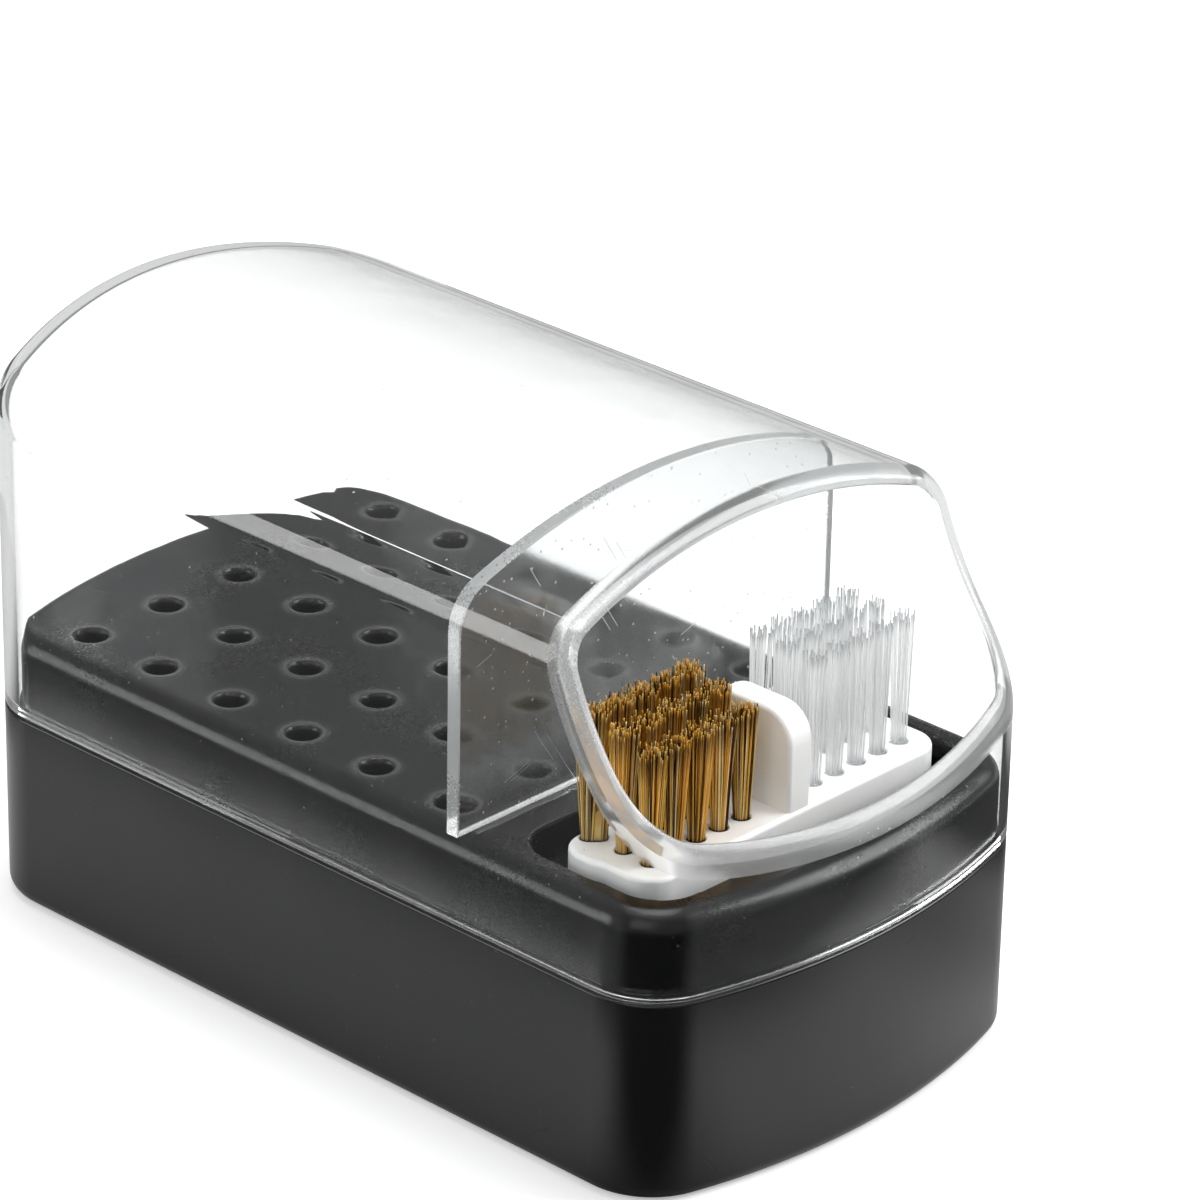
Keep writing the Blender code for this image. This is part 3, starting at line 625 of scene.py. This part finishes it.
def paint_socket_highlights(finish):
    """A painted highlight, a faint pale ring round each socket's mouth, on the deck only."""
    tree = finish.node_tree
    place = object_place(tree)
    squares = []
    for axis, first in zip("XY", FIRST_SOCKET):
        steps = math_node(tree, "DIVIDE", math_node(
            tree, "SUBTRACT", place.outputs[axis], first * MM), SOCKET_PITCH * MM)
        off = math_node(tree, "SUBTRACT", steps, math_node(tree, "ROUND", steps))
        squares.append(math_node(tree, "POWER", math_node(tree, "ABSOLUTE", off), 2.0))
    radius = math_node(tree, "MULTIPLY", math_node(
        tree, "SQRT", math_node(tree, "ADD", *squares)), SOCKET_PITCH * MM)
    ring = math_node(tree, "MULTIPLY", fade(tree, radius, HIGHLIGHT_START, HIGHLIGHT_CREST, 0.0, 1.0),
                     fade(tree, radius, HIGHLIGHT_CREST, HIGHLIGHT_END, 1.0, 0.0))
    level = fade(tree, place.outputs["Z"], (TRAY_TOP - 0.45) * MM, (TRAY_TOP - 0.15) * MM, 0.0, 1.0)
    deck = math_node(
        tree, "MULTIPLY", level, math_node(tree, "GREATER_THAN", place.outputs["Y"], DECK_FRONT))
    deck = math_node(
        tree, "MULTIPLY", deck, math_node(tree, "LESS_THAN", place.outputs["Y"], DECK_REAR))
    shader = shader_of(finish)
    plain = shader.inputs["Base Color"].links[0].from_socket
    tint = add_node(tree, "ShaderNodeMix", {
        "Factor": math_node(tree, "MULTIPLY", ring, deck), 6: plain, 7: HIGHLIGHT_GREY},
        data_type="RGBA")
    tree.links.new(tint.outputs[2], shader.inputs["Base Color"])


paint_socket_highlights(tray_black)
add_piece("tray_moulding", tray, "base", tray_black, ["tray_deck"])

# %% [markdown]
# ## Clear cover
# The cover is one clear moulding: bowed ends, an arched roof with round shoulders, and a scooped
# front whose window has a rounded rim. A Boolean would leave slivers that show in clear plastic,
# so it is drawn from the window outwards. A ring of vertices is extruded over the rim, section by
# section, from the outer skin to the inner one. Then each skin is extruded down the front, back
# along the roof and down the rear.

# %% Cover sizes and places
COVER_BOTTOM = 24.1 * MM
COVER_WALL = 1.6 * MM
ARCH_RADIUS = 79.0 * MM
ARCH_CENTRE_Z = 68.2 * MM - ARCH_RADIUS
SCOOP_Y = -76.637 * MM
SCOOP_Z = 72.9 * MM
SCOOP_RADIUS = 39.914 * MM
RIM_EDGES = (1.7 * MM, 2.5 * MM, 1.9 * MM)
RIM_ROUND = 0.35 * MM
RIM_BREADTH = 2.0 * MM
SHOULDER_REACH = 3.7 * MM
SHOULDER_STEPS = 12
SIDE_STEPS = 10
TURNS = [math.pi / 2 * step / SHOULDER_STEPS for step in range(SHOULDER_STEPS + 1)]


def arch_height(x, inset):
    return ARCH_CENTRE_Z + math.sqrt((ARCH_RADIUS - inset) ** 2 - x ** 2)


def end_places():
    """Points and outward normals of the rear end, from the right corner to the left one."""
    form = bmesh.new()
    add_plan_loop(form, 0.0, 0.0)
    found = []
    for vert in form.verts:
        if vert.co.y < CORNER_Y - WELD:
            continue
        out = Vector((vert.co.x, vert.co.y - BOW_CENTRE_Y))
        if abs(math.atan2(out.x, out.y)) > math.pi / 2 - CORNER_TURN + 1e-4:
            out = Vector((vert.co.x - math.copysign(CORNER_X, vert.co.x), vert.co.y - CORNER_Y))
        found.append((vert.co.xy.copy(), out.normalized()))
    form.free()
    return sorted(found, key=lambda pair: math.atan2(pair[0].y, pair[0].x))


END_PLACES = end_places()


def roof_column(point, normal, inset):
    """Places up one wall of the rear: the foot, then the round shoulder up to the roof."""
    reach = (1.6 + 2.1 * normal.x ** 2) * MM - inset * 0.5
    foot = point - normal * inset
    column = [(foot.x, foot.y, COVER_BOTTOM)]
    for turn in TURNS:
        moved = point - normal * (inset + reach * (1 - math.cos(turn)))
        column.append(
            (moved.x, moved.y, arch_height(moved.x, inset) - reach * (1 - math.sin(turn))))
    return column


def rim_places(front, side, top, radius):
    """A ring round the window where a cylinder about the scoop's axis meets the inset cover.

    The lower row runs down the right side, across the front and up the left side. The upper row
    runs over the left shoulder, the roof and the right shoulder.
    """
    wall_x = HALF_WIDTH - side
    reach = SHOULDER_REACH - side * 0.5
    shoulder = []
    for turn in TURNS:
        x = wall_x - reach * (1 - math.cos(turn))
        shoulder.append((x, arch_height(x, top) - reach * (1 - math.sin(turn))))
    high = math.asin((SCOOP_Z - shoulder[0][1]) / radius)
    low = math.acos((-CORNER_Y - SCOOP_Y) / radius)
    right = []
    for step in range(SIDE_STEPS):
        turn = high + (low - high) * step / SIDE_STEPS
        right.append((wall_x, SCOOP_Y + radius * math.cos(turn), SCOOP_Z - radius * math.sin(turn)))
    bow = []
    for point, normal in END_PLACES:
        inset = front + (side - front) * normal.x ** 2
        x, y = point.x - normal.x * inset, -point.y + normal.y * inset
        bow.append((x, y, SCOOP_Z - math.sqrt(radius ** 2 - (y - SCOOP_Y) ** 2)))
    roof_xs = [roof_column(point, normal, 0.0)[-1][0] for point, normal in END_PLACES]
    span = shoulder[-1][0] / roof_xs[0]
    crown = [(x * span, arch_height(x * span, top)) for x in roof_xs[1:-1]]
    over = [(-x, z) for x, z in shoulder[1:]] + crown[::-1] + shoulder[:0:-1]
    upper = [(x, SCOOP_Y + math.sqrt(radius ** 2 - (z - SCOOP_Z) ** 2), z) for x, z in over]
    left = [(-x, y, z) for x, y, z in reversed(right)]
    return right + bow + left, upper


# %% Extruding a row of vertices to new places
def extrude_row(form, row, places, closed=False):
    """Extrude the edges of a row, put the new row at the places, and return it in order."""
    pairs = list(zip(row, row[1:] + row[:1] if closed else row[1:]))
    edges = [form.edges.get(pair) for pair in pairs]
    grown = bmesh.ops.extrude_edge_only(form, edges=edges)["geom"]
    fresh = {item for item in grown if isinstance(item, bmesh.types.BMVert)}
    following = []
    for vert, place in zip(row, places):
        moved = next(edge.other_vert(vert)
                     for edge in vert.link_edges if edge.other_vert(vert) in fresh)
        moved.co = place
        following.append(moved)
    return following


def draw_row(form, places):
    """A new open row of vertices, drawn one edge at a time."""
    row = [form.verts.new(places[0])]
    for place in places[1:]:
        row.append(draw_on(form, row[-1], place))
    return row


# %% Cover
def rim_sections():
    """Insets at the front, side and top, and the cylinder's radius, from outer skin to inner."""
    sections = []
    for step in range(11):
        turn = math.pi / 2 * step / 10
        insets = [(edge - RIM_ROUND) * (1 - math.cos(turn)) for edge in RIM_EDGES]
        sections.append((*insets, SCOOP_RADIUS + RIM_BREADTH * (1 - math.sin(turn))))
    for step in range(1, 5):
        turn = math.pi / 2 * step / 4
        insets = [edge - RIM_ROUND * (1 - math.sin(turn)) for edge in RIM_EDGES]
        sections.append((*insets, SCOOP_RADIUS + RIM_ROUND * (1 - math.cos(turn))))
    sections.append((*RIM_EDGES, SCOOP_RADIUS + 1.6 * MM))
    sections.append((COVER_WALL, COVER_WALL, COVER_WALL, SCOOP_RADIUS + RIM_BREADTH))
    return sections


def add_skin(form, inset, lower, upper):
    """One skin of the cover, extruded from its ring at the window to its foot."""
    columns = [roof_column(point, normal, inset) for point, normal in END_PLACES]
    extrude_row(form, lower, [(vert.co.x, vert.co.y, COVER_BOTTOM) for vert in lower])
    crown = upper[SHOULDER_STEPS - 1:len(upper) - SHOULDER_STEPS + 1]
    row = extrude_row(form, crown, [column[-1] for column in reversed(columns)])
    for level in range(len(columns[0]) - 2, -1, -1):
        row = extrude_row(form, row, [column[level] for column in reversed(columns)])
    for end, shoulder, column in ((lower[0], upper[-SHOULDER_STEPS:][::-1], columns[0]),
                                  (lower[-1], upper[:SHOULDER_STEPS], columns[-1])):
        foot = (end.co.x, end.co.y, COVER_BOTTOM)
        front = draw_row(form, [foot, end.co.copy()] + [vert.co.copy() for vert in shoulder])
        extrude_row(form, front, column)


def build_cover():
    form = bmesh.new()
    sections = rim_sections()
    lower, upper = rim_places(*sections[0])
    ring = bmesh.ops.create_circle(
        form, segments=len(lower) + len(upper), radius=HALF_WIDTH)["verts"]
    for vert, place in zip(ring, lower + upper):
        vert.co = place
    rings = [ring]
    for section in sections[1:]:
        lower, upper = rim_places(*section)
        rings.append(extrude_row(form, rings[-1], lower + upper, closed=True))
    window_rim = set(form.faces)
    count = len(lower)
    add_skin(form, 0.0, rings[0][:count], rings[0][count:])
    add_skin(form, COVER_WALL, rings[-1][:count], rings[-1][count:])
    for face in form.faces:
        face.material_index = 1 if face in window_rim else 0
    bmesh.ops.remove_doubles(form, verts=form.verts, dist=0.06 * MM)
    foot = [edge for edge in form.edges if edge.is_boundary]
    bmesh.ops.bridge_loops(form, edges=foot)
    bmesh.ops.recalc_face_normals(form, faces=form.faces)
    rim = [edge for edge in form.edges
           if all(abs(vert.co.z - COVER_BOTTOM) < WELD for vert in edge.verts)
           and edge.calc_face_angle(0.0) > 1.0]
    bmesh.ops.bevel(form, geom=rim, offset=0.2 * MM, segments=3,
                    profile=0.5, affect="EDGES", material=-1)
    return form


CLEAR, DUSTY = (0.97, 0.98, 0.98), (0.75, 0.75, 0.74)
clear_plastic = mould(
    make_finish("clear_cover_plastic", CLEAR, 0.0, Transmission_Weight=1.0, IOR=1.49),
    CLEAR, DUSTY, 0.0, 0.0, 1.0, 0.0, 0.00008, 0.02, 0.1, wear=0.4)
let_lamps_through(clear_plastic)
rim_plastic = mould(
    make_finish("clear_rim_plastic", CLEAR, 0.2, Transmission_Weight=0.85, IOR=1.49),
    CLEAR, DUSTY, 0.12, 0.3, 1.0, 0.0, 0.0006, 0.02, 0.1)
let_lamps_through(rim_plastic)
cover = add_piece("cover_moulding", build_cover(), "cover",
                  clear_plastic, ["clear_cover"])
cover.data.materials.append(rim_plastic)

# %% [markdown]
# ## Partition
# A clear plate stands across the cover behind the brush and keeps brushings out of the sockets. It
# is cut from sheet, so its outline is drawn once, extruded by the sheet's thickness and given a
# small polished bevel all round.

# %% Partition
PARTITION_FRONT = -23.5 * MM
PARTITION_FOOT = 33.85 * MM
PARTITION_THICKNESS = 1.8 * MM
PARTITION_INSET = 1.9 * MM
PARTITION_CROWN_STEPS = 24


def build_partition():
    """The plate: its outline follows the cover's inside, a little clear of it."""
    half = HALF_WIDTH - PARTITION_INSET
    reach = SHOULDER_REACH - PARTITION_INSET * 0.5
    places = [(half, PARTITION_FRONT, PARTITION_FOOT)]
    for turn in TURNS:
        x = half - reach * (1 - math.cos(turn))
        height = arch_height(x, PARTITION_INSET) - reach * (1 - math.sin(turn))
        places.append((x, PARTITION_FRONT, height))
    start = places[-1][0]
    for step in range(1, PARTITION_CROWN_STEPS + 1):
        x = start * (1 - step / PARTITION_CROWN_STEPS)
        places.append((x, PARTITION_FRONT, arch_height(x, PARTITION_INSET)))
    form = bmesh.new()
    draw_row(form, places)
    outline = mirror_new(form, set(), "X")
    plate = bmesh.ops.contextual_create(form, geom=outline)["faces"]
    grown = bmesh.ops.extrude_face_region(form, geom=plate)["geom"]
    back = [item for item in grown if isinstance(item, bmesh.types.BMVert)]
    bmesh.ops.translate(form, verts=back, vec=(0.0, PARTITION_THICKNESS, 0.0))
    bmesh.ops.recalc_face_normals(form, faces=form.faces)
    rims = [edge for edge in form.edges if edge.calc_face_angle(0.0) > 1.2 and abs(
        edge.verts[0].co.y - edge.verts[1].co.y) < WELD]
    for face in form.faces:
        face.material_index = 0 if len(face.verts) > 4 else 1
    bmesh.ops.bevel(form, geom=rims, offset=0.2 * MM, segments=3,
                    profile=0.5, affect="EDGES", material=1)
    return form


partition_plastic = mould(
    make_finish("partition_plastic", CLEAR, 0.08, Transmission_Weight=0.99, IOR=1.49),
    CLEAR, DUSTY, 0.06, 0.12, 1.0, 0.0, 0.0001, 0.25, 0.3, wear=0.5)
let_lamps_through(partition_plastic)
partition = add_piece(
    "partition_plate", build_partition(), "cover", partition_plastic,
    ["cover_partition"])
cut_edge = mould(
    make_finish("partition_cut_edge", CLEAR, 0.3, Transmission_Weight=0.7, IOR=1.49),
    CLEAR, DUSTY, 0.2, 0.35, 1.0, 0.0, 0.0001, 0.02, 0.1)
let_lamps_through(cut_edge)
partition.data.materials.append(cut_edge)

# %% [markdown]
# ## Brush plate
# The plate is one white moulding with soft edges and an upright fin that keeps the brass half and
# the nylon half apart. The plate is swept like a small base, the fin is an outline with two spun
# corners, and thirty turned holes take the tufts.

# %% Brush plate
PLATE_TOP = 34.5
FIN_HEIGHT = 11.5
FIN_CORNER = 3.8
FIN_HALF_LENGTH = 6.25 * MM
FIN_THICKNESS = 3.6 * MM
TUFT_ROWS = 3
TUFT_COLUMNS = 5
FIRST_TUFT = 5.7
TUFT_COLUMN_PITCH = 3.55
TUFT_ROW_PITCH = 4.05
TUFT_ROW_SHIFT = 1.05


def build_fin():
    """The upright fin: a flat outline with two round corners, extruded across and softened."""
    form = bmesh.new()
    half, corner, left = FIN_HALF_LENGTH, FIN_CORNER * MM, -FIN_THICKNESS / 2
    foot, crown = (PLATE_TOP - 1.2) * MM, (PLATE_TOP + FIN_HEIGHT - FIN_CORNER) * MM
    vert = draw_row(form, [(left, 0.0, foot), (left, half, foot), (left, half, crown)])[-1]
    turned = bmesh.ops.spin(
        form, geom=[vert], cent=(left, half - corner, crown), axis=(1.0, 0.0, 0.0),
        angle=math.pi / 2, steps=12)
    draw_on(form, turned["geom_last"][0], (left, 0.0, crown + corner))
    outline = mirror_new(form, set(), "Y")
    bmesh.ops.translate(form, verts=form.verts, vec=(0.0, BLOCK_Y, 0.0))
    side = bmesh.ops.contextual_create(form, geom=outline)["faces"]
    grown = bmesh.ops.extrude_face_region(form, geom=side)["geom"]
    right = [item for item in grown if isinstance(item, bmesh.types.BMVert)]
    bmesh.ops.translate(form, verts=right, vec=(FIN_THICKNESS, 0.0, 0.0))
    bmesh.ops.recalc_face_normals(form, faces=form.faces)
    rims = [edge for edge in form.edges if edge.calc_face_angle(0.0) > 1.2 and abs(
        edge.verts[0].co.x - edge.verts[1].co.x) < WELD]
    bmesh.ops.bevel(form, geom=rims, offset=0.5 * MM, segments=4,
                    profile=0.5, affect="EDGES", material=-1)
    return form


def tuft_places(side):
    """Row, column and centre of each tuft: side -1 is the brass half, +1 the nylon half."""
    for row in range(TUFT_ROWS):
        for column in range(TUFT_COLUMNS):
            x = side * (FIRST_TUFT + TUFT_COLUMN_PITCH * column) * MM
            yield row, column, x, BLOCK_Y + (TUFT_ROW_SHIFT + (row - 1) * TUFT_ROW_PITCH) * MM


plate_rows = [(0.4, 29.8), (0.0, 30.2)] + arc((0.6, PLATE_TOP - 0.6), 0.6, 180.0, 90.0, 6)
plate = sweep(bmesh.new(), plate_rows, box_loop(23.7 * MM, 6.55 * MM, 3.6 * MM, BLOCK_Y))
plate = carve(plate, build_fin(), "UNION")
bmesh.ops.remove_doubles(plate, verts=plate.verts, dist=0.03 * MM)
hole_profile = [(1.05, 32.6), (1.05, PLATE_TOP - 0.15), (1.2, PLATE_TOP), (1.2, PLATE_TOP + 1.0)]
hole_places = [(x, y) for side in (-1, 1) for _, _, x, y in tuft_places(side)]
plate = carve(plate, repeat(lathe(hole_profile, 24), hole_places))
plate = carve(plate, repeat(lathe([(1.8, 28.0), (1.8, 32.4)], 24), peg_places))

white_plastic = mould(
    make_finish("brush_white", (0.84, 0.84, 0.83), 0.35),
    (0.84, 0.84, 0.83), (0.6, 0.6, 0.58), 0.3, 0.42, 0.6, 0.05, 0.00008, 0.03, 0.1)
add_piece("brush_plate", plate, "brush", white_plastic, ["brush_block"])

# %% [markdown]
# ## Tufts
# Each tuft is a bundle of straight drawn wires or filaments that fans out towards its tips. One
# strand is made by extruding a small square step by step. The others are copies of it, leaning
# out from the middle. Every strand carries a tone of its own and its height along itself, so one
# material can colour gold and brown wires, with painted shade at the roots and a painted
# highlight at the brass tips.

# %% One tuft
GOLDEN_TURN = 2.39996
STRAND_STEPS = 4


def build_tuft(centre, height, chance, count, root_reach, fan, thickness, wave):
    """A plug in the hole and its strands. The strands lean out by fan times their root's place."""
    form = bmesh.new()
    along = form.verts.layers.float.new("along")
    tone = form.verts.layers.float.new("tone")
    x, y = centre
    plug = bmesh.ops.create_cone(
        form, cap_ends=True, segments=16, radius1=1.0 * MM, radius2=1.0 * MM, depth=1.5 * MM,
        matrix=Matrix.Translation((x, y, (PLATE_TOP - 1.05) * MM)))["verts"]
    for vert in plug:
        vert[tone] = 0.15
    for number in range(count):
        angle = number * GOLDEN_TURN
        reach = math.sqrt((number + 0.5) / count)
        root = Vector((math.cos(angle), math.sin(angle))) * reach * root_reach * MM
        lean = root * (fan - 1.0) + Vector((chance.gauss(0.0, 0.13), chance.gauss(0.0, 0.13))) * MM
        bend = Vector((chance.gauss(0.0, wave), chance.gauss(0.0, wave))) * MM
        rise = (height + chance.uniform(-0.55, 0.5)) * MM
        shade = chance.random()
        row = bmesh.ops.create_circle(
            form, cap_ends=True, segments=4, radius=thickness * MM,
            matrix=Matrix.Rotation(chance.uniform(0.0, math.pi), 4, "Z"))["verts"]
        face = row[0].link_faces[0]
        for step in range(STRAND_STEPS + 1):
            part = step / STRAND_STEPS
            middle = root + lean * part + bend * math.sin(math.pi * part)
            place = Vector((x + middle.x, y + middle.y, PLATE_TOP * MM + rise * part))
            if step:
                grown = bmesh.ops.extrude_face_region(form, geom=[face])["geom"]
                if step > 1:
                    bmesh.ops.delete(form, geom=[face], context="FACES_ONLY")
                face = next(item for item in grown if isinstance(item, bmesh.types.BMFace))
                move = place - last
            else:
                move = place
            for vert in face.verts:
                vert.co += move
                vert[along] = part
                vert[tone] = shade
            last = place
    return form


# %% Brass tufts
def strand_material(name, roughness, metallic):
    finish = make_finish(name, (0.8, 0.8, 0.8), roughness, Metallic=metallic)
    tree = finish.node_tree
    tone = add_node(tree, "ShaderNodeAttribute", attribute_name="tone").outputs["Fac"]
    along = add_node(tree, "ShaderNodeAttribute", attribute_name="along").outputs["Fac"]
    return finish, tree, tone, along


def add_ramp(tree, value, stops):
    ramp = add_node(tree, "ShaderNodeValToRGB", {"Fac": value})
    while len(ramp.color_ramp.elements) < len(stops):
        ramp.color_ramp.elements.new(0.5)
    for element, (position, colour) in zip(ramp.color_ramp.elements, stops):
        element.position = position
        element.color = (*colour, 1.0)
    return ramp.outputs["Color"]


def tint_strands(finish, first, second):
    """The product of two ramps as the base colour."""
    tree = finish.node_tree
    mixed = add_node(tree, "ShaderNodeMix", {
        "Factor": 1.0, 6: first, 7: second}, data_type="RGBA", blend_type="MULTIPLY")
    tree.links.new(mixed.outputs[2], shader_of(finish).inputs["Base Color"])


def add_tufts(kind, side, slot, finish, heights, seed, **strands):
    """All tufts of one half of the brush. Their strands differ by chance, from the seed."""
    chance = random.Random(seed)
    for row, column, x, y in tuft_places(side):
        number = row * TUFT_COLUMNS + column + 1
        add_piece(
            f"{kind}_bundle_{number:02d}", build_tuft((x, y), heights[row], chance, **strands),
            "brush", finish, [f"{kind}_tuft_{number:02d}"], crease=80.0)


brass, tree, tone, along = strand_material("brass_wire", 0.3, 0.4)
# Each wire gets a random tone. The near-black end of the range is painted shade and the pale gold
# end is painted reflection.
wire = add_ramp(tree, tone, [
    (0.0, (0.015, 0.006, 0.002)), (0.2, (0.12, 0.05, 0.01)), (0.3, (1.0, 0.5, 0.06)),
    (0.7, (1.0, 0.7, 0.15)), (1.0, (1.0, 0.92, 0.6))])
# Along each wire: painted shade at the root and just below the tip, and a painted highlight at the
# very tip.
shade = add_ramp(tree, along, [
    (0.0, (0.6, 0.55, 0.5)), (0.2, (1.0, 1.0, 1.0)), (0.7, (1.0, 0.95, 0.9)),
    (0.95, (0.4, 0.32, 0.25)), (1.0, (1.0, 0.95, 0.8))])
tint_strands(brass, wire, shade)
add_tufts("brass", -1, "brass_wire", brass, (12.9, 14.0, 14.8), 7,
          count=90, root_reach=0.92, fan=1.85, thickness=0.07, wave=0.05)

# %% Nylon tufts
nylon, tree, tone, along = strand_material("nylon_filament", 0.3, 0.0)
clear_tone = add_ramp(tree, tone, [
    (0.0, (0.75, 0.76, 0.77)), (0.3, (0.92, 0.93, 0.93)), (1.0, (0.97, 0.97, 0.97))])
# Along each filament: painted shade at the root, and grey painted shade at the tip where clear
# filaments show dark outlines.
painted_root_and_tip_shade = add_ramp(tree, along, [
    (0.0, (0.75, 0.76, 0.77)), (0.1, (0.95, 0.95, 0.95)), (0.9, (1.0, 1.0, 1.0)),
    (1.0, (0.62, 0.63, 0.64))])
tint_strands(nylon, clear_tone, painted_root_and_tip_shade)
shader_of(nylon).inputs["Transmission Weight"].default_value = 0.6
shader_of(nylon).inputs["IOR"].default_value = 1.3
let_lamps_through(nylon, (0.98, 0.98, 0.98), turns=2.5)

add_tufts("nylon", 1, "nylon_strand", nylon, (15.2, 15.4, 15.2), 11,
          count=28, root_reach=0.9, fan=1.45, thickness=0.085, wave=0.04)
